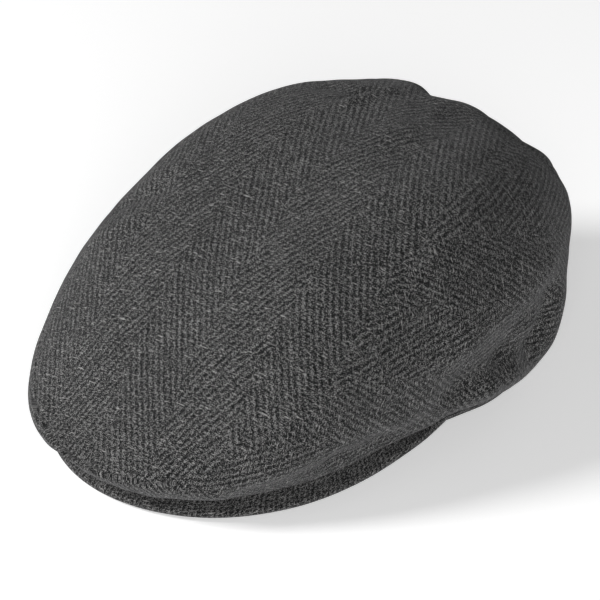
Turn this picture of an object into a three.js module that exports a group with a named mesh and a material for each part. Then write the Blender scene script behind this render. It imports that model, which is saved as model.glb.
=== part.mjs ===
// Flat cap in charcoal herringbone wool: a three-panel crown, a short peak and an inner band.
// Millimetres, +Z up. The peak points to -Y and the wearer's left is +X. The cap rests on z = 0,
// on the band at the back and on the peak's front edge.

import * as THREE from 'three';
import { mergeVertices } from 'three/addons/utils/BufferGeometryUtils.js';

// Head opening, inside the band
const headLength = 192;
const headWidth = 172;

// Band
const bandWall = 2;
const bandHeight = 26;
const bandSideRise = 19;      // how high the band's lower edge arches over the ears
const bandReveal = 4.5;       // how much of the band shows under the crown's hem

// Peak
const peakDepth = 40.5;       // from the band to the peak's front edge, at the middle
const peakFlare = 3.4;        // how far the peak's sides stand out from the band
const peakSetback = 30;       // from the head's middle forwards to where the peak is widest
const peakWall = 4;
const peakDrop = 16;          // how far the peak slopes down from the band to its front edge
const peakSideRise = 19;      // how much higher the peak's tips lie than its front edge
const peakArch = 1.5;         // how far the peak swells above a straight slope, at the middle
const peakSpan = 84;          // degrees from the front to each tip

// Crown
const clothWall = 2.6;
const crownHeight = 120;
const lipInset = 8;           // the crown is sewn down this far inside the peak's edge
const hemTurn = 3;            // how gently the hem turns from the peak onto the band
const hemDrop = 12;           // degrees behind the peak's tip over which the hem comes down
const frontOverhang = 18;     // how far the crown swells out past its hem, at the front
const sideOverhang = 11.5;
const backOverhang = 38;
const foldHeight = 4;
const foldWidth = 10;

// Clearances
const seatGap = 0.3;          // between the crown, band and peak where they are sewn together
const seamGap = 0.3;          // between the crown's panels

// Mesh steps
const stepsOverTop = 36;      // along each panel, between its front and back edges
const stepsAcrossTop = 14;
const stepsOverSide = 6;      // from the seam out to the crown's widest edge
const stepsInTuck = 5;        // from the widest edge under to the hem
const stepsRoundHead = 72;
const stepsAlongPeak = 48;
const stepsAcrossPeak = 5;
const stepsRoundPeakEdge = 4;
const halvings = 40;          // to find where a line over the top meets the widest line
const slopeFall = 0.01;       // small steps down and round the crown, to measure its slope
const slopeAround = 1;
const samePlace = 0.001;      // corners nearer than this are one

// Round the crown from the middle of the front. Front, side and back are shares of the three
// overhangs, edge is the height of the widest line as a share of the way from the hem to the
// top, and shoulder is how square the crown is there.
const crownRound = [
  { around: 0, front: 1.0, side: 0.0, back: 0.0, edge: 0.085, shoulder: 4.0 },
  { around: 30, front: 0.7, side: 0.3, back: 0.0, edge: 0.105, shoulder: 4.0 },
  { around: 60, front: 0.25, side: 0.62, back: 0.0, edge: 0.2, shoulder: 4.0 },
  { around: 90, front: 0.0, side: 1.0, back: 0.0, edge: 0.23, shoulder: 3.8 },
  { around: 120, front: 0.0, side: 0.9, back: 0.2, edge: 0.37, shoulder: 3.6 },
  { around: 150, front: 0.0, side: 0.4, back: 0.52, edge: 0.52, shoulder: 3.3 },
  { around: 180, front: 0.0, side: 0.0, back: 1.0, edge: 0.54, shoulder: 3.0 },
];

// Along the crown from the front lip (-1) to the back (1): the height of the middle line as a
// share of the crown's height
const crownAlong = [
  { along: -1.0, height: 0.25 },
  { along: -0.75, height: 0.52 },
  { along: -0.48, height: 0.735 },
  { along: -0.2, height: 0.87 },
  { along: 0.07, height: 0.97 },
  { along: 0.36, height: 1.0 },
  { along: 0.65, height: 0.985 },
  { along: 1.0, height: 0.82 },
];

// The seams between the top and the sides, which curve in above the front lip: their distance
// from the middle line as a share of the crown's half width
const seamLine = [
  { along: -1.0, apart: 0.05 },
  { along: -0.95, apart: 0.25 },
  { along: -0.925, apart: 0.36 },
  { along: -0.88, apart: 0.46 },
  { along: -0.82, apart: 0.56 },
  { along: -0.76, apart: 0.64 },
  { along: -0.65, apart: 0.73 },
  { along: -0.55, apart: 0.8 },
  { along: -0.42, apart: 0.84 },
  { along: -0.2, apart: 0.77 },
  { along: 0.07, apart: 0.67 },
  { along: 0.36, apart: 0.54 },
  { along: 0.65, apart: 0.42 },
  { along: 1.0, apart: 0.33 },
];

// Round the head: the lower edges of the band and of the peak, as shares of their rises
const lowerEdges = [
  { around: 0, band: 1.0, peak: 0.0 },
  { around: 20, band: 1.0, peak: 0.03 },
  { around: 40, band: 1.0, peak: 0.2 },
  { around: 55, band: 1.0, peak: 0.45 },
  { around: 70, band: 1.0, peak: 0.75 },
  { around: 90, band: 0.86, peak: 1.0 },
  { around: 105, band: 0.6, peak: 1.0 },
  { around: 120, band: 0.32, peak: 1.0 },
  { around: 140, band: 0.0, peak: 1.0 },
  { around: 180, band: 0.0, peak: 1.0 },
];

// Folds and dents, each along a line between two places on the crown. Around is in degrees
// from the front, positive on the wearer's left. Fall is 0 at the top, 1 at the widest line
// and 2 at the hem. High and wide are shares of the fold sizes, and a dent is negative.
const folds = [
  // The roll of slack cloth over the left ear, the crease under it and the swell above the hem
  { fromAround: 62, fromFall: 0.84, toAround: 87, toFall: 0.89, high: 0.5, wide: 0.9 },
  { fromAround: 87, fromFall: 0.89, toAround: 122, toFall: 0.86, high: 0.7, wide: 0.9 },
  { fromAround: 80, fromFall: 1.02, toAround: 102, toFall: 1.02, high: -0.8, wide: 0.8 },
  { fromAround: 102, fromFall: 1.02, toAround: 116, toFall: 1.2, high: -1.0, wide: 0.9 },
  { fromAround: 127, fromFall: 1.08, toAround: 124, toFall: 1.3, high: 0.6, wide: 1.1 },
  { fromAround: 66, fromFall: 1.18, toAround: 99, toFall: 1.3, high: 0.5, wide: 0.8 },
  // The front lip drawn up a little over the peak, on the left
  { fromAround: 18, fromFall: 1.3, toAround: 50, toFall: 1.3, high: -0.6, wide: 0.8 },
  { fromAround: 50, fromFall: 1.3, toAround: 84, toFall: 1.3, high: -0.9, wide: 0.8 },
  // Creases where the top turns down to the back
  { fromAround: -140, fromFall: 0.4, toAround: -153, toFall: 0.33, high: -0.7, wide: 0.7 },
  { fromAround: -152, fromFall: 0.27, toAround: -170, toFall: 0.42, high: 0.5, wide: 0.7 },
  { fromAround: -174, fromFall: 0.46, toAround: 174, toFall: 0.8, high: -0.8, wide: 0.9 },
  { fromAround: 163, fromFall: 0.55, toAround: 158, toFall: 0.78, high: -1.0, wide: 0.9 },
  { fromAround: 146, fromFall: 0.88, toAround: 156, toFall: 0.88, high: 0.5, wide: 1.0 },
  { fromAround: 173, fromFall: 0.58, toAround: 168, toFall: 0.7, high: -1.1, wide: 0.8 },
  { fromAround: -173, fromFall: 0.5, toAround: -167, toFall: 0.62, high: -1.1, wide: 0.7 },
  { fromAround: -162, fromFall: 0.5, toAround: -154, toFall: 0.57, high: 0.35, wide: 1.0 },
  { fromAround: 178, fromFall: 0.38, toAround: 157, toFall: 0.22, high: 0.35, wide: 0.9 },
  { fromAround: 128, fromFall: 0.24, toAround: 161, toFall: 0.36, high: -0.45, wide: 1.3 },
  { fromAround: 133, fromFall: 0.5, toAround: 117, toFall: 0.66, high: -0.5, wide: 1.4 },
  // A gentler roll and crease over the right ear
  { fromAround: -68, fromFall: 0.86, toAround: -112, toFall: 0.88, high: 0.5, wide: 1.0 },
  { fromAround: -84, fromFall: 1.05, toAround: -124, toFall: 1.15, high: -0.6, wide: 1.0 },
  // Slack in the middle of the back, above the band
  { fromAround: 176, fromFall: 1.1, toAround: 168, toFall: 1.6, high: -0.5, wide: 1.4 },
  { fromAround: -160, fromFall: 1.05, toAround: -150, toFall: 1.5, high: 0.4, wide: 1.3 },
];

const clothColour = 0x464648;
const bandColour = 0x3c3c3f;
const clothRoughness = 0.95;

const degrees = Math.PI / 180;

// The value of one column between two rows of a table, on a smooth curve through the rows that
// never swings past them
function follow(rows, key, at, column) {
  const last = rows.length - 1;
  const place = THREE.MathUtils.clamp(at, rows[0][key], rows[last][key]);
  let i = 0;
  while (i < last - 1 && place > rows[i + 1][key]) {
    i += 1;
  }
  const rise = (j) => (rows[j + 1][column] - rows[j][column]) / (rows[j + 1][key] - rows[j][key]);
  const slope = (j) => {
    if (j === 0 || j === last || rise(j - 1) * rise(j) <= 0) {
      return 0;
    }
    return (2 * rise(j - 1) * rise(j)) / (rise(j - 1) + rise(j));
  };
  const span = rows[i + 1][key] - rows[i][key];
  const t = (place - rows[i][key]) / span;
  const turn = t * t * (3 - 2 * t);
  const bend = span * t * (1 - t) * ((1 - t) * slope(i) - t * slope(i + 1));
  return THREE.MathUtils.lerp(rows[i][column], rows[i + 1][column], turn) + bend;
}

// The larger of two lengths, with a round turn from one to the other
function largerOf(first, second, round) {
  return (first + second + Math.hypot(first - second, round)) / 2;
}

// A point at a distance from the head's middle, in a direction from the front
function placeRound(around, reach, height) {
  const x = reach * Math.sin(around * degrees);
  const y = -reach * Math.cos(around * degrees);
  return new THREE.Vector3(x, y, height);
}

// The head's oval, let out by a distance
function headReach(around, out) {
  const x = Math.sin(around * degrees) / (headWidth / 2 + out);
  const y = Math.cos(around * degrees) / (headLength / 2 + out);
  return 1 / Math.hypot(x, y);
}

const rootOutside = bandWall + seatGap;

// The peak's outer edge is a half oval set forwards of the head's middle
function peakReach(around) {
  const halfWidth = headWidth / 2 + rootOutside + peakFlare;
  const halfLength = headLength / 2 + rootOutside + peakDepth - peakSetback;
  const x = Math.sin(around * degrees) / halfWidth;
  const y = Math.cos(around * degrees) / halfLength;
  const shift = peakSetback / halfLength;
  const square = x * x + y * y;
  return (y * shift + Math.sqrt(y * y * shift * shift + square * (1 - shift * shift))) / square;
}

function bandBottom(around) {
  return bandSideRise * follow(lowerEdges, 'around', Math.abs(around), 'band');
}

// The middle of the peak's thickness, at a share of the way from the band (0) to its edge (1)
function peakMiddle(around, share) {
  const rise = peakSideRise * follow(lowerEdges, 'around', Math.abs(around), 'peak');
  const edge = rise + peakWall / 2;
  const root = Math.max(edge, peakDrop + peakWall / 2);
  const inner = headReach(around, rootOutside);
  const depth = peakReach(around) - inner;
  const swell = peakArch * (depth / peakDepth) * (1 - (2 * share - 1) ** 2);
  const reach = inner + depth * share;
  return { reach, height: THREE.MathUtils.lerp(root, edge, share) + swell };
}

// The height of the peak's upper face at a distance from the head's middle
function peakTop(around, reach) {
  const inner = headReach(around, rootOutside);
  const share = THREE.MathUtils.clamp((reach - inner) / (peakReach(around) - inner), 0, 1);
  return peakMiddle(around, share).height + peakWall / 2;
}

// The crown's hem is sewn to the peak at the front, and to the band from the peak's tips back
function hemReach(around) {
  const onBand = headReach(around, rootOutside);
  const front = Math.min(Math.abs(around), peakSpan);
  return largerOf(onBand, peakReach(front) - lipInset, hemTurn);
}

function hemHeight(around) {
  const front = Math.min(Math.abs(around), peakSpan);
  const onPeak = peakTop(front, hemReach(front)) + seatGap;
  const onBand = bandBottom(around) + bandReveal;
  const behind = THREE.MathUtils.smoothstep(Math.abs(around), peakSpan, peakSpan + hemDrop);
  return THREE.MathUtils.lerp(onPeak, onBand, behind);
}

function edgeReach(around) {
  const share = (column) => follow(crownRound, 'around', Math.abs(around), column);
  const swell = frontOverhang * share('front') + sideOverhang * share('side');
  return hemReach(around) + swell + backOverhang * share('back');
}

function edgeHeight(around) {
  const hem = hemHeight(around);
  return hem + (crownHeight - hem) * follow(crownRound, 'around', Math.abs(around), 'edge');
}

// How far along the crown a point lies, from -1 at the front lip to 1 at the back
function alongCrown(y) {
  return y < 0 ? y / edgeReach(0) : y / edgeReach(180);
}

function middleHeight(y) {
  return crownHeight * follow(crownAlong, 'along', alongCrown(y), 'height');
}

function seamReach(y) {
  return edgeReach(90) * follow(seamLine, 'along', alongCrown(y), 'apart');
}

// A point on the crown before its folds
function smoothCrown(around, fall) {
  const wide = edgeReach(around);
  const edge = edgeHeight(around);
  if (fall > 1) {
    const turn = (fall - 1) * 90 * degrees;
    const hem = hemReach(around);
    const reach = hem + (wide - hem) * Math.cos(turn);
    return placeRound(around, reach, edge - (edge - hemHeight(around)) * Math.sin(turn));
  }
  const share = Math.sin(fall * 90 * degrees);
  const point = placeRound(around, wide * share, 0);
  const square = follow(crownRound, 'around', Math.abs(around), 'shoulder');
  const dome = Math.sqrt(Math.max(1 - share ** square, 0));
  point.z = edge + (middleHeight(point.y) - edge) * dome;
  return point;
}

// The outward direction of a surface at a place on the crown
function outwards(surface, around, fall) {
  const at = THREE.MathUtils.clamp(fall, 2 * slopeFall, 2 - slopeFall);
  const round = surface(around + slopeAround, at).sub(surface(around - slopeAround, at));
  const down = surface(around, at + slopeFall).sub(surface(around, at - slopeFall));
  return down.cross(round).normalize();
}

const foldLines = folds.map((fold) => ({
  line: new THREE.Line3(
    smoothCrown(fold.fromAround, fold.fromFall),
    smoothCrown(fold.toAround, fold.toFall),
  ),
  height: fold.high * foldHeight,
  width: fold.wide * foldWidth,
}));

function foldedCrown(around, fall) {
  const point = smoothCrown(around, fall);
  const nearest = new THREE.Vector3();
  let push = 0;
  for (const fold of foldLines) {
    fold.line.closestPointToPoint(point, true, nearest);
    push += fold.height * Math.exp(-((nearest.distanceTo(point) / fold.width) ** 2));
  }
  return point.addScaledVector(outwards(smoothCrown, around, fall), push);
}

// One place on the crown's outer face and the place under it on the inner face
function throughCloth(around, fall) {
  const outer = foldedCrown(around, fall);
  const inner = outer.clone().addScaledVector(outwards(foldedCrown, around, fall), -clothWall);
  return { outer, inner };
}

// The same for a place over the top that is given in plan
function throughClothAt(x, y) {
  const around = Math.atan2(x, -y) / degrees;
  const share = Math.min(Math.hypot(x, y) / edgeReach(around), 1);
  return throughCloth(around, Math.asin(share) / (90 * degrees));
}

// Where a line at a share of the seam's distance from the middle meets the crown's widest line
function lineEnd(share, shift, towards) {
  let inside = 0;
  let outside = towards * edgeReach(towards < 0 ? 0 : 180);
  for (let i = 0; i < halvings; i += 1) {
    const y = (inside + outside) / 2;
    const x = share * seamReach(y) + shift;
    if (Math.hypot(x, y) < edgeReach(Math.atan2(x, -y) / degrees)) {
      inside = y;
    } else {
      outside = y;
    }
  }
  return inside;
}

// Steps that are close together at both ends, where the crown turns down
function easeBothEnds(share) {
  return (1 - Math.cos(share * 180 * degrees)) / 2;
}

// Triangles over a grid of rows of points, turned over where it is seen from behind
function gridFaces(rows, flipped) {
  const faces = [];
  for (let i = 0; i + 1 < rows.length; i += 1) {
    for (let j = 0; j + 1 < rows[i].length; j += 1) {
      const corners = [rows[i][j], rows[i + 1][j], rows[i + 1][j + 1], rows[i][j + 1]];
      if (flipped) {
        corners.reverse();
      }
      faces.push([corners[0], corners[1], corners[2]]);
      faces.push([corners[0], corners[2], corners[3]]);
    }
  }
  return faces;
}

// A mesh from triangles, without those that have shrunk to a line
function meshFrom(name, faces, colour) {
  const geometry = new THREE.BufferGeometry();
  const places = faces.flat().flatMap((point) => point.toArray());
  geometry.setAttribute('position', new THREE.Float32BufferAttribute(places, 3));
  const merged = mergeVertices(geometry, samePlace);
  const index = merged.getIndex().array;
  const kept = [];
  for (let i = 0; i < index.length; i += 3) {
    const [a, b, c] = index.slice(i, i + 3);
    if (a !== b && b !== c && c !== a) {
      kept.push(a, b, c);
    }
  }
  merged.setIndex(kept);
  const finish = { color: colour, roughness: clothRoughness, metalness: 0 };
  const material = new THREE.MeshStandardMaterial(finish);
  const mesh = new THREE.Mesh(merged, material);
  mesh.name = name;
  return mesh;
}

// A closed cloth panel from a grid of places, each with an outer and an inner point
function clothPanel(name, grid, flipped) {
  const outer = grid.map((row) => row.map((place) => place.outer));
  const inner = grid.map((row) => row.map((place) => place.inner));
  const last = grid.length - 1;
  const end = grid[0].length - 1;
  const start = [outer[0], inner[0]];
  const finish = [inner[last], outer[last]];
  const near = outer.map((row, i) => [inner[i][0], row[0]]);
  const far = outer.map((row, i) => [row[end], inner[i][end]]);
  const faces = [
    ...gridFaces(outer, flipped),
    ...gridFaces(inner, !flipped),
    ...gridFaces(start, !flipped),
    ...gridFaces(finish, !flipped),
    ...gridFaces(near, flipped),
    ...gridFaces(far, flipped),
  ];
  return meshFrom(name, faces, clothColour);
}

function topPanel() {
  const grid = [];
  for (let i = 0; i <= stepsAcrossTop; i += 1) {
    const share = (2 * i) / stepsAcrossTop - 1;
    const shift = (-share * seamGap) / 2;
    const front = lineEnd(share, shift, -1);
    const back = lineEnd(share, shift, 1);
    const frontAround = Math.atan2(share * seamReach(front) + shift, -front) / degrees;
    const backAround = Math.atan2(share * seamReach(back) + shift, -back) / degrees;
    const row = [];
    for (let j = stepsInTuck; j > 0; j -= 1) {
      row.push(throughCloth(frontAround, 1 + j / stepsInTuck));
    }
    for (let j = 0; j <= stepsOverTop; j += 1) {
      const y = THREE.MathUtils.lerp(front, back, easeBothEnds(j / stepsOverTop));
      row.push(throughClothAt(share * seamReach(y) + shift, y));
    }
    for (let j = 1; j <= stepsInTuck; j += 1) {
      row.push(throughCloth(backAround, 1 + j / stepsInTuck));
    }
    grid.push(row);
  }
  return clothPanel('top_panel', grid, false);
}

// A side panel, from its seam out to the widest line and under to the hem
function sidePanel(name, side) {
  const shift = seamGap / 2;
  const front = lineEnd(1, shift, -1);
  const back = lineEnd(1, shift, 1);
  const frontAround = Math.atan2(seamReach(front) + shift, -front) / degrees;
  const backAround = Math.atan2(seamReach(back) + shift, -back) / degrees;
  const grid = [];
  for (let i = 0; i <= stepsOverTop; i += 1) {
    const share = easeBothEnds(i / stepsOverTop);
    const seamY = THREE.MathUtils.lerp(front, back, share);
    const seam = new THREE.Vector3(side * (seamReach(seamY) + shift), seamY, 0);
    const around = side * THREE.MathUtils.lerp(frontAround, backAround, share);
    const edge = placeRound(around, edgeReach(around), 0);
    const row = [];
    for (let j = 0; j < stepsOverSide; j += 1) {
      const way = Math.sin(((90 * j) / stepsOverSide) * degrees);
      const point = seam.clone().lerp(edge, way);
      row.push(throughClothAt(point.x, point.y));
    }
    for (let j = 0; j <= stepsInTuck; j += 1) {
      row.push(throughCloth(around, 1 + j / stepsInTuck));
    }
    grid.push(row);
  }
  return clothPanel(name, grid, side > 0);
}

// A ring or strip swept through closed sections, with flat ends where it is open
function sweptStrip(name, sections, colour) {
  const loops = sections.map((section) => [...section, section[0]]);
  const faces = gridFaces(loops, false);
  const first = sections[0];
  const last = sections[sections.length - 1];
  if (first[0].distanceTo(last[0]) > seatGap) {
    for (let i = 1; i + 1 < first.length; i += 1) {
      faces.push([first[0], first[i], first[i + 1]]);
      faces.push([last[0], last[i + 1], last[i]]);
    }
  }
  return meshFrom(name, faces, colour);
}

function band() {
  const sections = [];
  for (let i = 0; i <= stepsRoundHead; i += 1) {
    const around = (360 * i) / stepsRoundHead - 180;
    const low = bandBottom(around);
    const high = low + bandHeight;
    sections.push([
      placeRound(around, headReach(around, bandWall), low),
      placeRound(around, headReach(around, bandWall), high),
      placeRound(around, headReach(around, 0), high),
      placeRound(around, headReach(around, 0), low),
    ]);
  }
  return sweptStrip('band', sections, bandColour);
}

function peak() {
  const sections = [];
  for (let i = 0; i <= stepsAlongPeak; i += 1) {
    const around = peakSpan * ((2 * i) / stepsAlongPeak - 1);
    const upper = [];
    const lower = [];
    const edge = [];
    const roundEdge = peakWall / 2;
    const edgeShare = 1 - roundEdge / (peakReach(around) - headReach(around, rootOutside));
    for (let j = 0; j <= stepsAcrossPeak; j += 1) {
      const middle = peakMiddle(around, (edgeShare * j) / stepsAcrossPeak);
      lower.push(placeRound(around, middle.reach, middle.height - peakWall / 2));
      upper.unshift(placeRound(around, middle.reach, middle.height + peakWall / 2));
    }
    const centre = peakMiddle(around, edgeShare);
    for (let j = 1; j < stepsRoundPeakEdge; j += 1) {
      const turn = ((180 * j) / stepsRoundPeakEdge - 90) * degrees;
      const reach = centre.reach + roundEdge * Math.cos(turn);
      edge.push(placeRound(around, reach, centre.height + roundEdge * Math.sin(turn)));
    }
    sections.push([...lower, ...edge, ...upper]);
  }
  return sweptStrip('peak', sections, clothColour);
}

const cap = new THREE.Group();
cap.add(topPanel());
cap.add(sidePanel('side_panel_left', 1));
cap.add(sidePanel('side_panel_right', -1));
cap.add(band());
cap.add(peak());

// The middle of the cap's box, at the height of the surface that it rests on, is the origin
const extent = new THREE.Box3().setFromObject(cap, true);
const middle = extent.getCenter(new THREE.Vector3());
cap.position.set(-middle.x, -middle.y, -extent.min.z);

export default cap;
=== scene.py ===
import math

import bmesh
import bpy
import numpy as np
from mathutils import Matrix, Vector, noise


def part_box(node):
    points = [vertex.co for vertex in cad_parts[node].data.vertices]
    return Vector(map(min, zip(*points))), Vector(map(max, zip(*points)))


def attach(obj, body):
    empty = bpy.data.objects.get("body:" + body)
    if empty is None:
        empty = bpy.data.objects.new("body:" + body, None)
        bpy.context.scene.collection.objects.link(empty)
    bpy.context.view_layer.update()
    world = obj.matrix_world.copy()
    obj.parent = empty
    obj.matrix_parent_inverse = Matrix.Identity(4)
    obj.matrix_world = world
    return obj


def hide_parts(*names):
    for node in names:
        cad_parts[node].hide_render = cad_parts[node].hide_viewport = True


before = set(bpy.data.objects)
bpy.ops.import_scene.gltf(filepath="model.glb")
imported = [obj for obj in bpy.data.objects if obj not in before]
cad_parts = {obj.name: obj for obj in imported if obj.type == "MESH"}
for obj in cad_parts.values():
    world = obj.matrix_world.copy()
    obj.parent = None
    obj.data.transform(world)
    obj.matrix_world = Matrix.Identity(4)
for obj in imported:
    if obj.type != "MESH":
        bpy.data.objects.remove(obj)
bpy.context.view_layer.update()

# Everything is worked out round the middle of the head opening, which is the band's middle
bandLow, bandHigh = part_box("band")
headMiddle = Vector(((bandLow.x + bandHigh.x) / 2, (bandLow.y + bandHigh.y) / 2, 0.0))
capCore = headMiddle + Vector((0, 0, 0.05))     # inside the cap: camera and lamps look at it
leastLength = 1e-9                              # keeps a division by a length off zero

band = {
    "wall": 0.002,
    "height": 0.026,
    "sideRise": 0.019,      # how high its lower edge arches over the ears
    "reveal": 0.0045,       # how much of it shows under the crown's hem
    "gap": 0.0003,          # between it and the pieces sewn to it
}
headHalfLength = (bandHigh.y - bandLow.y) / 2 - band["wall"]
headHalfWidth = (bandHigh.x - bandLow.x) / 2 - band["wall"]
rootOut = band["wall"] + band["gap"]

peak = {
    "depth": 0.0405,        # from the head opening forwards, in the middle
    "flare": 0.0034,        # how far its half oval stands out from the band at the sides
    "setback": 0.03,        # how far the half oval's middle lies in front of the head's
    "wall": 0.004,
    "drop": 0.016,          # from its root down to its outer edge at the front
    "sideRise": 0.019,
    "arch": 0.0015,
    "span": 84,             # degrees from the front to each tip
}

crown = {
    "wall": 0.0026,
    "height": 0.12,
    "lipInset": 0.008,      # from the peak's outer edge in to the front hem
    "hemTurn": 0.003,       # rounds the hem's corner between peak and band
    "hemDrop": 12,          # degrees in which the hem comes down from the peak to the band
    "frontOut": 0.018,      # how far the widest line stands out from the hem
    "sideOut": 0.0115,
    "backOut": 0.038,
    "foldHeight": 0.004,
    "foldWidth": 0.01,
    "seamDepth": 0.00025,   # how far the cloth dips into the seam
    "seamWidth": 0.0026,
    "ridgeHeight": 0.000125,    # the cloth's slight swell beside the dip
    "ridgeAway": 0.006,
    "ridgeWidth": 0.004,
    "slack": 0.0007,        # the soft unevenness of the cloth
    "slackGrain": 0.03,
    "fineSlack": 0.00035,
    "fineGrain": 0.012,
    "fineShift": 3,         # takes the finer unevenness from another part of the noise
    "hemFall": 2.0,         # the hem, in the terms that the folds below use
    "heldFall": 1.8,        # folds and slack fade out between here and the hem
    "sewnFall": 1.999,      # panels are sewn to one another down to here, and the hem is free
}

# The crown's form by degrees from the front: how much of each of the three ways out it takes,
# how high the widest line lies from the hem to the crown's height, and how square the dome is
crownRound = {
    "around": [0, 30, 60, 90, 120, 150, 180],
    "front": [1, 0.7, 0.25, 0, 0, 0, 0],
    "side": [0, 0.3, 0.62, 1, 0.9, 0.4, 0],
    "back": [0, 0, 0, 0, 0.2, 0.52, 1],
    "edge": [0.085, 0.105, 0.2, 0.23, 0.37, 0.52, 0.54],
    "shoulder": [4, 4, 4, 3.8, 3.6, 3.3, 3],
}
# Shares of the crown's height and half width, from its front (-1) over the middle to its back (1)
crownAlong = {
    "along": [-1, -0.75, -0.48, -0.2, 0.07, 0.36, 0.65, 1],
    "height": [0.25, 0.52, 0.735, 0.87, 0.97, 1, 0.985, 0.82],
}
seamLine = {
    "along": [-1, -0.95, -0.925, -0.88, -0.82, -0.76, -0.65, -0.55, -0.42, -0.2, 0.07, 0.36, 0.65, 1],
    "apart": [0.05, 0.25, 0.36, 0.46, 0.56, 0.64, 0.73, 0.8, 0.84, 0.77, 0.67, 0.54, 0.42, 0.33],
}
# How far the lower edges of band and peak have risen over the ears, by degrees from the front
lowerEdges = {
    "around": [0, 20, 40, 55, 70, 90, 105, 120, 140, 180],
    "band": [1, 1, 1, 1, 1, 0.86, 0.6, 0.32, 0, 0],
    "peak": [0, 0.03, 0.2, 0.45, 0.75, 1, 1, 1, 1, 1],
}

# Folds: from (around, fall) to (around, fall), height and width as shares of the fold sizes.
# Around is in degrees from the front, fall is 0 at the top, 1 at the widest line, 2 at the hem.
folds = [
    ((62, 0.84), (87, 0.89), 0.5, 0.9),        # the roll of slack cloth over the left ear
    ((87, 0.89), (122, 0.86), 0.7, 0.9),
    ((80, 1.02), (102, 1.02), -0.8, 0.8),
    ((102, 1.02), (116, 1.2), -1.0, 0.9),
    ((127, 1.08), (124, 1.3), 0.6, 1.1),
    ((66, 1.18), (99, 1.3), 0.5, 0.8),
    ((18, 1.3), (50, 1.3), -0.6, 0.8),         # the front lip drawn up over the peak
    ((50, 1.3), (84, 1.3), -0.9, 0.8),
    ((-140, 0.4), (-153, 0.33), -0.7, 0.7),    # creases where the top turns to the back
    ((-152, 0.27), (-170, 0.42), 0.5, 0.7),
    ((-174, 0.46), (174, 0.8), -0.8, 0.9),
    ((163, 0.55), (158, 0.78), -1.0, 0.9),
    ((146, 0.88), (156, 0.88), 0.5, 1.0),
    ((173, 0.58), (168, 0.7), -1.1, 0.8),
    ((-173, 0.5), (-167, 0.62), -1.1, 0.7),
    ((-162, 0.5), (-154, 0.57), 0.35, 1.0),
    ((178, 0.38), (157, 0.22), 0.35, 0.9),
    ((128, 0.24), (161, 0.36), -0.45, 1.3),
    ((133, 0.5), (117, 0.66), -0.5, 1.4),
    ((-68, 0.86), (-112, 0.88), 0.5, 1.0),     # a gentler roll over the right ear
    ((-84, 1.05), (-124, 1.15), -0.6, 1.0),
    ((176, 1.1), (168, 1.6), -0.5, 1.4),       # slack in the middle of the back
    ((-160, 1.05), (-150, 1.5), 0.4, 1.3),
]

# Finer creases of the cloth, in the same terms
wrinkles = [
    ((80, 0.79), (114, 0.79), 0.3, 0.7),       # the roll's upper edge over the left ear
    ((86, 0.93), (118, 0.93), -0.75, 0.7),
    ((86, 1.0), (100, 1.0), -0.3, 0.7),
    ((122, 0.93), (118, 1.05), -0.6, 0.55),    # the crease under it, deepest near its back end
    ((118, 1.05), (114, 1.25), -0.8, 0.6),
    ((114, 1.22), (100, 1.08), -0.3, 0.55),
    ((109, 1.4), (104, 1.27), 0.5, 0.5),       # the small roll above the hem
    ((104, 1.27), (95, 1.25), 0.5, 0.5),
    ((95, 1.25), (80, 1.36), 0.4, 0.5),
    ((-42, 1.5), (-8, 1.5), -0.3, 0.8),        # the lip held up over the peak
    ((-4, 1.2), (12, 1.2), -0.65, 0.9),
    ((31, 1.2), (43, 1.2), -0.6, 0.7),
    ((32, 1.5), (60, 1.5), -0.6, 0.8),
    ((-53, 0.6), (-50, 0.42), -0.55, 0.5),     # faint dents and swells along the far side
    ((-62, 0.5), (-58, 0.38), 0.4, 0.6),
    ((-44, 0.6), (-40, 0.45), 0.35, 0.6),
    ((-146, 0.27), (-158, 0.37), -0.5, 0.4),   # small creases where the top turns down
    ((-152, 0.24), (-165, 0.35), 0.3, 0.4),
    ((178, 0.33), (170, 0.27), -0.35, 0.45),
]


# The value of a table's column between its rows, on a smooth curve that never swings past them
def follow(table, key, at, column):
    keys = np.array(table[key], float)
    values = np.array(table[column], float)
    rises = np.diff(values) / np.diff(keys)
    slopes = np.zeros(len(keys))
    both = rises[:-1] * rises[1:]
    turning = both > 0
    slopes[1:-1][turning] = 2 * both[turning] / (rises[:-1] + rises[1:])[turning]
    at = np.clip(at, keys[0], keys[-1])
    i = np.clip(np.searchsorted(keys, at) - 1, 0, len(keys) - 2)
    span = keys[i + 1] - keys[i]
    t = (at - keys[i]) / span
    bend = span * t * (1 - t) * ((1 - t) * slopes[i] - t * slopes[i + 1])
    return values[i] + (values[i + 1] - values[i]) * t * t * (3 - 2 * t) + bend


# The place at a share of the way from one value to another
def mix(a, b, share):
    return a + (b - a) * share


def smoothStep(at, low, high):
    t = np.clip((at - low) / (high - low), 0, 1)
    return t * t * (3 - 2 * t)


# The point at a turn, a reach from the head's middle and a height
def placeRound(around, reach, height):
    turn = np.radians(around)
    x = reach * np.sin(turn)
    return np.stack(np.broadcast_arrays(x, -reach * np.cos(turn), height), -1)


# How far the head opening's oval, set out by a wall, reaches from its middle
def headReach(around, out):
    turn = np.radians(around)
    return 1 / np.hypot(np.sin(turn) / (headHalfWidth + out), np.cos(turn) / (headHalfLength + out))


# The peak's outer edge is a half oval set forwards of the head's middle
def peakReach(around):
    halfLength = headHalfLength + rootOut + peak["depth"] - peak["setback"]
    x = np.sin(np.radians(around)) / (headHalfWidth + rootOut + peak["flare"])
    y = np.cos(np.radians(around)) / halfLength
    shift = peak["setback"] / halfLength
    square = x * x + y * y
    return (y * shift + np.sqrt(y * y * shift * shift + square * (1 - shift * shift))) / square


def bandBottom(around):
    return band["sideRise"] * follow(lowerEdges, "around", np.abs(around), "band")


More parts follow.
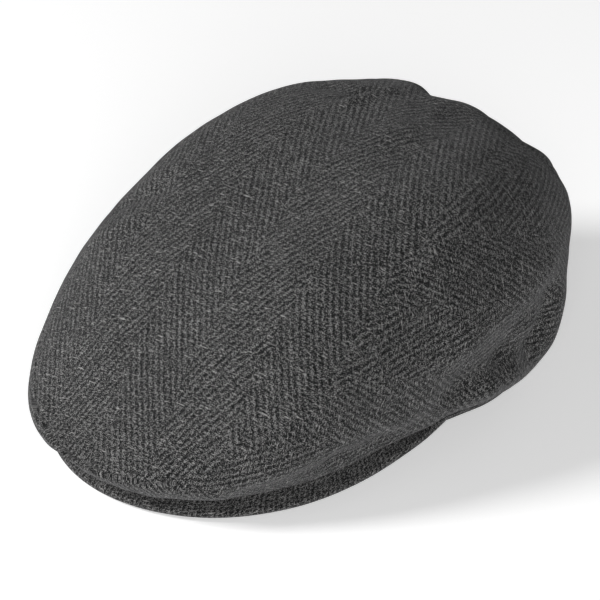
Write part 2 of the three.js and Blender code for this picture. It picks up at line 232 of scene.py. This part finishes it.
# The middle of the peak's thickness at a share of the way from its root to its edge
def peakMiddle(around, share):
    rise = peak["sideRise"] * follow(lowerEdges, "around", np.abs(around), "peak")
    edge = rise + peak["wall"] / 2
    root = np.maximum(edge, peak["drop"] + peak["wall"] / 2)
    inner = headReach(around, rootOut)
    depth = peakReach(around) - inner
    swell = peak["arch"] * (depth / peak["depth"]) * (1 - (2 * share - 1) ** 2)
    return inner + depth * share, mix(root, edge, share) + swell


# The crown's hem, which lies on the peak in front and on the band behind
def hemReach(around):
    onBand = headReach(around, rootOut)
    front = np.minimum(np.abs(around), peak["span"])
    onPeak = peakReach(front) - crown["lipInset"]
    return (onBand + onPeak + np.hypot(onBand - onPeak, crown["hemTurn"])) / 2


def hemHeight(around):
    front = np.minimum(np.abs(around), peak["span"])
    inner = headReach(front, rootOut)
    share = np.clip((hemReach(front) - inner) / (peakReach(front) - inner), 0, 1)
    onPeak = peakMiddle(front, share)[1] + peak["wall"] / 2 + band["gap"]
    onBand = bandBottom(around) + band["reveal"]
    return mix(onPeak, onBand, smoothStep(np.abs(around), peak["span"], peak["span"] + crown["hemDrop"]))


# The crown's widest line
def edgeReach(around):
    at = np.abs(around)
    swell = crown["frontOut"] * follow(crownRound, "around", at, "front")
    swell = swell + crown["sideOut"] * follow(crownRound, "around", at, "side")
    return hemReach(around) + swell + crown["backOut"] * follow(crownRound, "around", at, "back")


def edgeHeight(around):
    hem = hemHeight(around)
    return mix(hem, crown["height"], follow(crownRound, "around", np.abs(around), "edge"))


def alongCrown(y):
    return np.where(y < 0, y / edgeReach(0.0), y / edgeReach(180.0))


def seamReach(y):
    return edgeReach(90.0) * follow(seamLine, "along", alongCrown(y), "apart")


# A point on the crown before its folds
def smoothCrown(around, fall):
    around, fall = np.broadcast_arrays(np.asarray(around, float), np.asarray(fall, float))
    wide = edgeReach(around)
    edge = edgeHeight(around)
    share = np.sin(np.radians(90) * np.minimum(fall, 1))
    over = placeRound(around, wide * share, 0.0)
    middle = crown["height"] * follow(crownAlong, "along", alongCrown(over[..., 1]), "height")
    square = follow(crownRound, "around", np.abs(around), "shoulder")
    dome = np.sqrt(np.maximum(1 - share ** square, 0))
    over[..., 2] = edge + (middle - edge) * dome
    turn = np.radians(90) * (np.maximum(fall, 1) - 1)
    hem = hemReach(around)
    reach = hem + (wide - hem) * np.cos(turn)
    under = placeRound(around, reach, edge - (edge - hemHeight(around)) * np.sin(turn))
    return np.where((fall > 1)[..., None], under, over)


def aroundOf(x, y):
    return np.degrees(np.arctan2(x, -y))


def fallOf(x, y):
    share = np.minimum(np.hypot(x, y) / edgeReach(aroundOf(x, y)), 1)
    return np.arcsin(share) / np.radians(90)


halvings = 40


# Where a line at a share of the seam's distance from the middle meets the widest line
def lineEnd(share, towards):
    inside = np.zeros_like(share)
    outside = np.full_like(share, towards * edgeReach(0.0 if towards < 0 else 180.0))
    for halving in range(halvings):
        y = (inside + outside) / 2
        x = share * seamReach(y)
        within = np.hypot(x, y) < edgeReach(aroundOf(x, y))
        inside = np.where(within, y, inside)
        outside = np.where(within, outside, y)
    return inside


def easeEnds(share):
    return (1 - np.cos(np.pi * share)) / 2


def unit(vectors):
    return vectors / np.maximum(np.linalg.norm(vectors, axis=-1, keepdims=True), leastLength)


# The length run so far along each row or column of a grid of places
def lengthsAlong(places, axis):
    steps = np.linalg.norm(np.diff(places, axis=axis), axis=-1)
    start = np.zeros_like(np.take(steps, [0], axis=axis))
    return np.cumsum(np.concatenate([start, steps], axis=axis), axis=axis)


# How far each fold pushes each place out: a soft ridge or, where its height is negative, a dent
def foldPush(places, rows, size, width):
    push = np.zeros(places.shape[:2])
    for start, end, high, wide in rows:
        a = smoothCrown(*start)
        b = smoothCrown(*end)
        line = b - a
        t = np.clip(np.sum((places - a) * line, axis=-1) / np.dot(line, line), 0, 1)
        away = np.linalg.norm(places - a - t[..., None] * line, axis=-1)
        push += high * size * np.exp(-((away / (wide * width)) ** 2))
    return push


# Soft unevenness that runs on from one panel to the next
def slackPush(places, size, grain):
    flat = places.reshape(-1, 3)
    values = [noise.noise(Vector(place) / grain) for place in flat]
    return size * np.array(values).reshape(places.shape[:2])


flattening = {"steps": 4000, "pull": 0.12}


# Lays a panel's grid flat, keeping the lengths between its points, as a pattern cutter would
def layFlat(places, guess, coarse):
    rows = np.unique(np.linspace(0, places.shape[0] - 1, coarse[0]).astype(int))
    columns = np.unique(np.linspace(0, places.shape[1] - 1, coarse[1]).astype(int))
    solid = places[np.ix_(rows, columns)]
    first = guess[np.ix_(rows, columns)]
    flat = first.copy()
    pairs = [
        ((slice(1, None), slice(None)), (slice(None, -1), slice(None))),
        ((slice(None), slice(1, None)), (slice(None), slice(None, -1))),
        ((slice(1, None), slice(1, None)), (slice(None, -1), slice(None, -1))),
        ((slice(1, None), slice(None, -1)), (slice(None, -1), slice(1, None))),
    ]
    lengths = [np.linalg.norm(solid[a] - solid[b], axis=-1) for a, b in pairs]
    for step in range(flattening["steps"]):
        move = np.zeros_like(flat)
        for (a, b), length in zip(pairs, lengths):
            gap = flat[a] - flat[b]
            now = np.maximum(np.linalg.norm(gap, axis=-1), leastLength)
            pull = gap * ((now - length) / now * flattening["pull"])[..., None]
            move[a] -= pull
            move[b] += pull
        flat += move
    change = flat - first
    byRow = np.arange(places.shape[0])
    byColumn = np.arange(places.shape[1])
    fine = np.zeros_like(guess)
    for k in range(2):
        wide = np.stack([np.interp(byColumn, columns, row) for row in change[..., k]])
        fine[..., k] = np.stack([np.interp(byRow, rows, column) for column in wide.T], axis=1)
    return guess + fine


def turned(flat, degrees):
    c, s = math.cos(math.radians(degrees)), math.sin(math.radians(degrees))
    return np.stack([c * flat[..., 0] + s * flat[..., 1], c * flat[..., 1] - s * flat[..., 0]], -1)


sewing = {"mergeWithin": 0.00002, "smoothLevels": 1}


# A cloth piece from a grid: the vertices go to their places and the UV map holds the flat cloth.
# Edges between sewn points stay sharp, so that they meet the next panel's.
def clothPiece(name, places, flat, wall, material, sewn=None, closed=False):
    rows, columns = places.shape[:2]
    sewn = np.zeros((rows, columns), bool) if sewn is None else sewn
    mesh = bmesh.new()
    bmesh.ops.create_grid(mesh, x_segments=columns - 1, y_segments=rows - 1, size=1)
    uvLayer = mesh.loops.layers.uv.new("cloth")
    spot = {}
    for vert in mesh.verts:
        column = round((vert.co.x + 1) / 2 * (columns - 1))
        row = round((vert.co.y + 1) / 2 * (rows - 1))
        spot[vert.index] = (row, column)
    for face in mesh.faces:
        for loop in face.loops:
            loop[uvLayer].uv = flat[spot[loop.vert.index]]
        face.smooth = True
    for vert in mesh.verts:
        vert.co = Vector(places[spot[vert.index]]) + headMiddle
    crease = mesh.edges.layers.float.new("crease_edge")
    for edge in mesh.edges:
        if edge.is_boundary and all(sewn[spot[vert.index]] for vert in edge.verts):
            edge[crease] = 1.0
            edge.smooth = False
    bmesh.ops.remove_doubles(mesh, verts=mesh.verts, dist=sewing["mergeWithin"])
    if closed:
        rims = [edge for edge in mesh.edges if edge.is_boundary]
        bmesh.ops.holes_fill(mesh, edges=rims, sides=0)
        bmesh.ops.recalc_face_normals(mesh, faces=mesh.faces)
    else:
        mesh.normal_update()
        outward = sum(face.normal.dot(face.calc_center_median() - capCore) for face in mesh.faces)
        if outward < 0:
            bmesh.ops.reverse_faces(mesh, faces=mesh.faces)
    data = bpy.data.meshes.new(name)
    mesh.to_mesh(data)
    mesh.free()
    piece = bpy.data.objects.new(name, data)
    bpy.context.scene.collection.objects.link(piece)
    if wall:
        solid = piece.modifiers.new("wall", "SOLIDIFY")
        solid.thickness = wall
        solid.offset = -1
        solid.use_even_offset = False
    smooth = piece.modifiers.new("smooth", "SUBSURF")
    smooth.levels = sewing["smoothLevels"]
    smooth.render_levels = sewing["smoothLevels"]
    data.materials.append(material)
    return piece


# The smooth crown's outward direction, from places a small step to each side
def crownNormal(around, fall):
    turn, step = 1, 0.01
    at = np.clip(fall, 2 * step, crown["hemFall"] - 2 * step)
    beside = smoothCrown(around + turn, at) - smoothCrown(around - turn, at)
    down = smoothCrown(around, at + step) - smoothCrown(around, at - step)
    return unit(np.cross(down, beside))


# Soft folds, seam dips and slack, pushed out along the smooth crown's normals
def dressCrown(around, fall, fromSeam):
    places = smoothCrown(around, fall)
    push = foldPush(places, folds, crown["foldHeight"], crown["foldWidth"])
    push += foldPush(places, wrinkles, crown["foldHeight"], crown["foldWidth"])
    slack = slackPush(places, crown["slack"], crown["slackGrain"])
    slack += slackPush(places + crown["fineShift"], crown["fineSlack"], crown["fineGrain"])
    dip = crown["seamDepth"] * np.exp(-((fromSeam / crown["seamWidth"]) ** 2))
    swell = crown["ridgeHeight"] * np.exp(-(((fromSeam - crown["ridgeAway"]) / crown["ridgeWidth"]) ** 2))
    held = smoothStep(fall, crown["hemFall"], crown["heldFall"])
    return places + crownNormal(around, fall) * ((push + slack) * held - dip + swell)[..., None]


# Cloth finishes

class Wire:     # a shader value that Python's own operators work on
    def __init__(self, tree, socket):
        self.tree = tree
        self.socket = socket

    def math(self, operation, *others, first=None):
        node = self.tree.nodes.new("ShaderNodeMath")
        node.operation = operation
        values = (self, *others) if first is None else (first, self, *others)
        for spot, value in zip(node.inputs, values):
            if isinstance(value, Wire):
                self.tree.links.new(value.socket, spot)
            else:
                spot.default_value = value
        return Wire(self.tree, node.outputs[0])

    def __add__(self, other):
        return self.math("ADD", other)

    def __sub__(self, other):
        return self.math("SUBTRACT", other)

    def __mul__(self, other):
        return self.math("MULTIPLY", other)

    def __truediv__(self, other):
        return self.math("DIVIDE", other)

    def __radd__(self, other):
        return self.math("ADD", first=other)

    def __rmul__(self, other):
        return self.math("MULTIPLY", first=other)

    def clamped(self):
        return self.math("MAXIMUM", 0.0).math("MINIMUM", 1.0)

    def between(self, low, high):       # 0 under low, 1 over high
        return ((self - low) / (high - low)).clamped()


class Finish:   # a material, with one way of adding nodes to it
    def __init__(self, name):
        self.material = bpy.data.materials.new(name)
        self.material.use_nodes = True
        self.tree = self.material.node_tree
        self.shader = self.tree.nodes["Principled BSDF"]

    def node(self, kind, settings=None, sockets=None, output=0):
        made = self.tree.nodes.new(kind)
        for key, value in (settings or {}).items():
            setattr(made, key, value)
        for key, value in (sockets or {}).items():
            if isinstance(value, Wire):
                self.tree.links.new(value.socket, made.inputs[key])
            else:
                made.inputs[key].default_value = value
        return Wire(self.tree, made.outputs[output])

    def noise(self, vector, scale, detail=2.0, roughness=0.5, turn=0.0, stretch=(1, 1, 1)):
        placed = self.node("ShaderNodeMapping", {}, {
            "Vector": vector, "Rotation": (0, 0, math.radians(turn)), "Scale": stretch})
        return self.node("ShaderNodeTexNoise", {}, {
            "Vector": placed, "Scale": scale, "Detail": detail, "Roughness": roughness})

    # The Mix node has sockets for each kind of value: 6 and 7 are its two colours, 2 their mix
    def blend(self, factor, first, second):
        return self.node("ShaderNodeMix", {"data_type": "RGBA"}, {0: factor, 6: first, 7: second}, 2)

    def plug(self, name, value):
        if isinstance(value, Wire):
            self.tree.links.new(value.socket, self.shader.inputs[name])
        else:
            self.shader.inputs[name].default_value = value


def grey(level, tint=0.0):      # a grey, a little warmer or cooler
    return (level * (1 + tint), level, level * (1 - tint), 1.0)


herringbone = {
    "stripe": 0.0305,       # width of one stripe
    "lean": 28,             # degrees from the stripe's own line to its twill lines
    "pitch": 0.00285,       # from one twill line to the next
    "drift": 0.0016,        # how far the stripes' edges wander
    "driftPhase": 0.5,
    "faintest": 0.3,        # how strongly the twill lines show, where least and where most
    "strongest": 1.15,
    "lineShare": 1.0,
    "shade": 1.0,
    "dark": 0.004,
    "mid": 0.035,
    "light": 0.2,
    "fleck": 0.45,
    "fleckCover": 0.55,
    "lineDepth": 0.00035,
    "napDepth": 0.00055,
    "napGrain": 0.4,
    "napStrands": 0.7,
    "bump": 0.7,
}
plainStripe = 10.0          # wider than any piece, so that the lines never turn
peakRib = dict(herringbone, stripe=plainStripe, lean=0, pitch=0.0024, lineShare=0.9)
bandTwill = dict(herringbone, stripe=plainStripe, lean=90, pitch=0.0021, lineShare=1.1, shade=0.8)

strandStretch = (0.35, 1.6, 1)
fleckStretch = (0.3, 2.0, 1)
woolNoise = {
    "drift": {"scale": 60},
    "waver": {"scale": 420, "roughness": 0.6},
    "strength": {"scale": 130, "detail": 3, "roughness": 0.6},
    "fibres": {"scale": 900, "detail": 3, "roughness": 0.75},
    "grain": {"scale": 2100, "detail": 1, "roughness": 0.8},
    "strandsA": {"scale": 620, "detail": 3, "roughness": 0.7, "turn": 25, "stretch": strandStretch},
    "strandsB": {"scale": 620, "detail": 3, "roughness": 0.7, "turn": -40, "stretch": strandStretch},
    "fleckA": {"scale": 540, "roughness": 0.6, "turn": 62, "stretch": fleckStretch},
    "fleckB": {"scale": 560, "roughness": 0.6, "turn": -20, "stretch": fleckStretch},
    "cloudy": {"scale": 22, "detail": 3, "roughness": 0.55},
    "mottle": {"scale": 170, "detail": 3, "roughness": 0.6},
}
woolRanges = {"strength": (0.3, 0.66), "fleckA": (0.63, 0.73), "fleckB": (0.64, 0.74)}

# The tone runs from 0, the darkest wool, to 1, the lightest. Each noise moves it by its share.
woolTone = {"middle": 0.31, "line": 0.7, "fibres": 4.2, "grain": 5.5, "cloudy": 0.4, "mottle": 0.7}
strandTone = {"middle": 0.56, "share": 2.2}
woolSurface = {
    "Roughness": 0.92,
    "Specular IOR Level": 0.12,
    "Sheen Weight": 0.1,
    "Sheen Roughness": 0.55,
    "Sheen Tint": (0.8, 0.8, 0.82, 1),
}


def woolFinish(name, cloth):
    finish = Finish(name)
    flat = finish.node("ShaderNodeUVMap", {"uv_map": "cloth"})
    u = finish.node("ShaderNodeSeparateXYZ", {}, {0: flat}, 0)
    v = finish.node("ShaderNodeSeparateXYZ", {}, {0: flat}, 1)
    field = {key: finish.noise(flat, **values) for key, values in woolNoise.items()}
    for key, (low, high) in woolRanges.items():
        field[key] = field[key].between(low, high)
    drift = field["drift"] - 0.5
    u = u + drift * cloth["drift"]
    stripe = u.math("PINGPONG", cloth["stripe"])
    side = (u / cloth["stripe"]).math("FLOOR").math("MODULO", 2.0)
    lean = math.radians(cloth["lean"])
    phase = (stripe * math.cos(lean) - v * math.sin(lean)) / cloth["pitch"]
    phase = phase + side * 0.5 + drift * cloth["driftPhase"] + (field["waver"] - 0.5)
    line = (phase * math.tau).math("SINE") * 0.5 + 0.5
    shown = cloth["faintest"] + (cloth["strongest"] - cloth["faintest"]) * field["strength"]
    line = 0.5 + (line - 0.5) * shown
    strands = field["strandsA"].math("MAXIMUM", field["strandsB"])
    fleck = field["fleckA"].math("MAXIMUM", field["fleckB"])
    tone = woolTone["middle"] + (line - 0.5) * (cloth["lineShare"] * woolTone["line"])
    for key in ("fibres", "grain", "cloudy", "mottle"):
        tone = tone + (field[key] - 0.5) * woolTone[key]
    tone = (tone + (strands - strandTone["middle"]) * strandTone["share"]).clamped()
    dark, mid, light, pale = (cloth[key] * cloth["shade"] for key in ("dark", "mid", "light", "fleck"))
    colour = finish.blend(tone.between(0.0, 0.5), grey(dark, -0.02), grey(mid))
    colour = finish.blend(tone.between(0.5, 1.0), colour, grey(light, 0.01))
    colour = finish.blend(fleck * cloth["fleckCover"], colour, grey(pale, 0.02))
    finish.plug("Base Color", colour)
    for key, value in woolSurface.items():
        finish.plug(key, value)
    nap = field["fibres"] + field["grain"] * cloth["napGrain"] + strands * cloth["napStrands"]
    height = line * (cloth["lineDepth"] * cloth["lineShare"]) + nap * cloth["napDepth"]
    finish.plug("Normal", finish.node("ShaderNodeBump", {}, {
        "Strength": cloth["bump"], "Distance": 1.0, "Height": height}))
    return finish.material


crownWool = woolFinish("crownWool", herringbone)
peakWool = woolFinish("peakWool", peakRib)
bandWool = woolFinish("bandWool", bandTwill)
print("cloth finishes made")

# Top panel: over the crown from the front lip to the back hem, between the two seams

# Along the seam it has the side panels' steps, over and tuck, so that their points coincide
seamSteps = {"over": 150, "tuck": 16}
topPanel = {
    "across": 72,
    "bunching": 0.6,        # how far its points draw together towards the seams
    "over": seamSteps["over"],
    "tuck": seamSteps["tuck"],
    "coarse": (25, 45),     # rows and columns of the grid that is laid flat
    "stripeTurn": 9,
    "stripeShift": 0.0224,
}


def makeTopPanel(dims):
    t = np.linspace(-1, 1, dims["across"] + 1)
    share = mix(t, np.sin(np.pi / 2 * t), dims["bunching"])
    front = lineEnd(share, -1)
    back = lineEnd(share, 1)
    y = mix(front[:, None], back[:, None], easeEnds(np.linspace(0, 1, dims["over"] + 1)))
    x = share[:, None] * seamReach(y)
    around = aroundOf(x, y)
    fall = fallOf(x, y)
    tuck = np.linspace(0, 1, dims["tuck"] + 1)[1:]
    frontAround = np.repeat(around[:, :1], len(tuck), axis=1)
    backAround = np.repeat(around[:, -1:], len(tuck), axis=1)
    around = np.concatenate([frontAround, around, backAround], axis=1)
    under = np.ones((len(share), 1)) + tuck
    fall = np.concatenate([under[:, ::-1], fall, under], axis=1)
    places = smoothCrown(around, fall)
    across = lengthsAlong(places, 0)
    middle = len(share) // 2
    along = lengthsAlong(places[middle:middle + 1], 1)
    guess = np.stack(np.broadcast_arrays(across - across[middle], along), -1)
    flat = layFlat(places, guess, dims["coarse"])
    fromSeam = np.minimum(across, across[-1] - across)
    flat = turned(flat, dims["stripeTurn"]) + (dims["stripeShift"], 0)
    dressed = dressCrown(around, fall, fromSeam)
    return clothPiece("crown_top", dressed, flat, crown["wall"], crownWool, fall < crown["sewnFall"])


# Side panels: from the seam out to the widest line and under to the hem

sidePanel = {
    "along": seamSteps["over"],
    "over": 44,
    "crowding": 1.5,        # how far its points draw together towards the seam
    "tuck": seamSteps["tuck"],
    "coarse": (45, 21),
    "lengthAt": 33,         # the first guess gives every column the length of this one
    "stripeTurn": -31,
    "stripeShift": 0.0422,
}


def makeSidePanel(name, side, dims):
    ends = [lineEnd(np.array([1.0]), towards)[0] for towards in (-1, 1)]
    share = easeEnds(np.linspace(0, 1, dims["along"] + 1))
    seamY = mix(ends[0], ends[1], share)
    seamX = seamReach(seamY)
    endAround = [float(aroundOf(seamReach(y), y)) for y in ends]
    around = mix(endAround[0], endAround[1], share)
    edge = placeRound(around, edgeReach(around), 0.0)
    way = np.sin(np.pi / 2 * np.linspace(0, 1, dims["over"] + 1) ** dims["crowding"])
    x = mix(seamX[:, None], edge[:, :1], way)
    y = mix(seamY[:, None], edge[:, 1:2], way)
    overAround = aroundOf(x, y)
    fall = fallOf(x, y)
    tuck = np.linspace(0, 1, dims["tuck"] + 1)[1:]
    around = np.concatenate([overAround, np.repeat(around[:, None], len(tuck), axis=1)], axis=1)
    fall = np.concatenate([fall, np.ones((len(share), 1)) + tuck], axis=1)
    around = around * side
    places = smoothCrown(around, fall)
    down = lengthsAlong(places, 1)
    length = lengthsAlong(places, 0)
    fromSeam = np.minimum(down, np.minimum(length, length[-1] - length))
    along = length[:, dims["lengthAt"]][:, None]
    half = dims["along"] // 2
    shift = (down[half, dims["over"]] - down[:, dims["over"]])[:, None]
    guess = np.stack(np.broadcast_arrays(side * (down + shift), along), -1)
    flat = layFlat(places, guess, dims["coarse"])
    flat = turned(flat, side * dims["stripeTurn"]) + (dims["stripeShift"], 0)
    dressed = dressCrown(around, fall, fromSeam)
    return clothPiece(name, dressed, flat, crown["wall"], crownWool, fall < crown["sewnFall"])


# Band: a narrow strip of cloth round the head opening

bandStrip = {"around": 240, "rows": 10, "bunching": 0.9}    # bunched towards both edges


def makeBand(dims):
    around = np.linspace(-180, 180, dims["around"] + 1)[:, None]
    even = np.linspace(0, 1, dims["rows"] + 1)
    share = mix(even, easeEnds(even), dims["bunching"])
    low = bandBottom(around)
    places = placeRound(around, headReach(around, band["wall"]), low + band["height"] * share)
    flat = np.stack([lengthsAlong(places, 0), lengthsAlong(places, 1)], -1)
    return clothPiece("band_strip", places, flat, band["wall"], bandWool)


# Peak: a stiff crescent covered with the cloth

peakCloth = {"along": 110, "across": 16, "edge": 8}


def makePeak(dims):
    around = peak["span"] * np.sin(np.pi / 2 * np.linspace(-1, 1, dims["along"] + 1))[:, None]
    half = peak["wall"] / 2
    edgeShare = 1 - half / (peakReach(around) - headReach(around, rootOut))
    share = edgeShare * np.linspace(0, 1, dims["across"] + 1)
    reach, height = peakMiddle(around, share)
    lower = placeRound(around, reach, height - half)
    upper = placeRound(around, reach, height + half)[:, ::-1]
    turn = np.radians(180 * np.linspace(0, 1, dims["edge"] + 1)[1:-1] - 90)
    middle, level = peakMiddle(around, edgeShare)
    edge = placeRound(around, middle + half * np.cos(turn), level + half * np.sin(turn))
    places = np.concatenate([lower, edge, upper, lower[:, :1]], axis=1)
    along = lengthsAlong(edge[:, :1], 0)
    flat = np.stack(np.broadcast_arrays(along, lengthsAlong(places, 1)), -1)
    return clothPiece("peak_cloth", places, flat, 0, peakWool, closed=True)


pieces = [
    (makeTopPanel(topPanel), "top_panel", "crown_cloth"),
    (makeSidePanel("crown_left", 1, sidePanel), "side_panel_left", "crown_cloth"),
    (makeSidePanel("crown_right", -1, sidePanel), "side_panel_right", "crown_cloth"),
    (makeBand(bandStrip), "band", "band_cloth"),
    (makePeak(peakCloth), "peak", "peak_cloth"),
]
for piece, node, slot in pieces:
    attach(piece, "root")
    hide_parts(node)
print("cap made")

# Floor, light and camera

studio = {
    "floorSize": 6.0,
    "floorTone": 0.9,
    "floorGlow": 0.38,          # lifts the floor towards the photo's white ground
    "floorRoughness": 0.9,
    "floorShine": 0.1,
    "skyTone": 0.12,
    "key": {"from": (-1.1, -1.5, 1.3), "size": 0.7, "power": 40},
    "fill": {"from": (1.5, -1.3, 0.9), "size": 1.0, "power": 24},
}
view = {
    "azimuth": 45,
    "elevation": 31.5,
    "distance": 1.5,
    "pixelsPerMetre": 2190,     # at the cap, in a frame of 600 pixels
    "frame": 600,
    "corePlace": (317, 280),    # where the cap's core lies in the frame, in pixels
    "sensor": 36,
}


def makeFloor(dims):
    mesh = bmesh.new()
    bmesh.ops.create_grid(mesh, x_segments=1, y_segments=1, size=dims["floorSize"] / 2)
    data = bpy.data.meshes.new("floor")
    mesh.to_mesh(data)
    mesh.free()
    floor = bpy.data.objects.new("floor", data)
    bpy.context.scene.collection.objects.link(floor)
    finish = Finish("paleFloor")
    finish.plug("Base Color", grey(dims["floorTone"]))
    finish.plug("Roughness", dims["floorRoughness"])
    finish.plug("Specular IOR Level", dims["floorShine"])
    finish.plug("Emission Color", grey(1.0))
    finish.plug("Emission Strength", dims["floorGlow"])
    data.materials.append(finish.material)


def makeLamp(name, lamp):
    data = bpy.data.lights.new(name, "AREA")
    data.shape = "DISK"
    data.size = lamp["size"]
    data.energy = lamp["power"]
    item = bpy.data.objects.new(name, data)
    item.location = Vector(lamp["from"]) + headMiddle
    item.rotation_euler = (capCore - item.location).to_track_quat("-Z", "Y").to_euler()
    bpy.context.scene.collection.objects.link(item)


def makeCamera(dims):
    turn, rise = math.radians(dims["azimuth"]), math.radians(dims["elevation"])
    back = Vector((math.sin(turn) * math.cos(rise), -math.cos(turn) * math.cos(rise), math.sin(rise)))
    right = Vector((math.cos(turn), math.sin(turn), 0))
    up = back.cross(right)
    aim = capCore - right * (dims["corePlace"][0] - dims["frame"] / 2) / dims["pixelsPerMetre"]
    aim -= up * (dims["frame"] / 2 - dims["corePlace"][1]) / dims["pixelsPerMetre"]
    data = bpy.data.cameras.new("camera")
    data.sensor_width = dims["sensor"]
    data.lens = dims["sensor"] * dims["pixelsPerMetre"] * dims["distance"] / dims["frame"]
    camera = bpy.data.objects.new("camera", data)
    camera.location = aim + back * dims["distance"]
    camera.rotation_euler = (-back).to_track_quat("-Z", "Y").to_euler()
    bpy.context.scene.collection.objects.link(camera)
    bpy.context.scene.camera = camera


makeFloor(studio)
for name in ("key", "fill"):
    makeLamp(name, studio[name])
sky = bpy.data.worlds.new("studio")
sky.use_nodes = True
sky.node_tree.nodes["Background"].inputs["Color"].default_value = grey(1.0)
sky.node_tree.nodes["Background"].inputs["Strength"].default_value = studio["skyTone"]
bpy.context.scene.world = sky
bpy.context.scene.view_settings.view_transform = "Standard"
makeCamera(view)
print("studio ready")
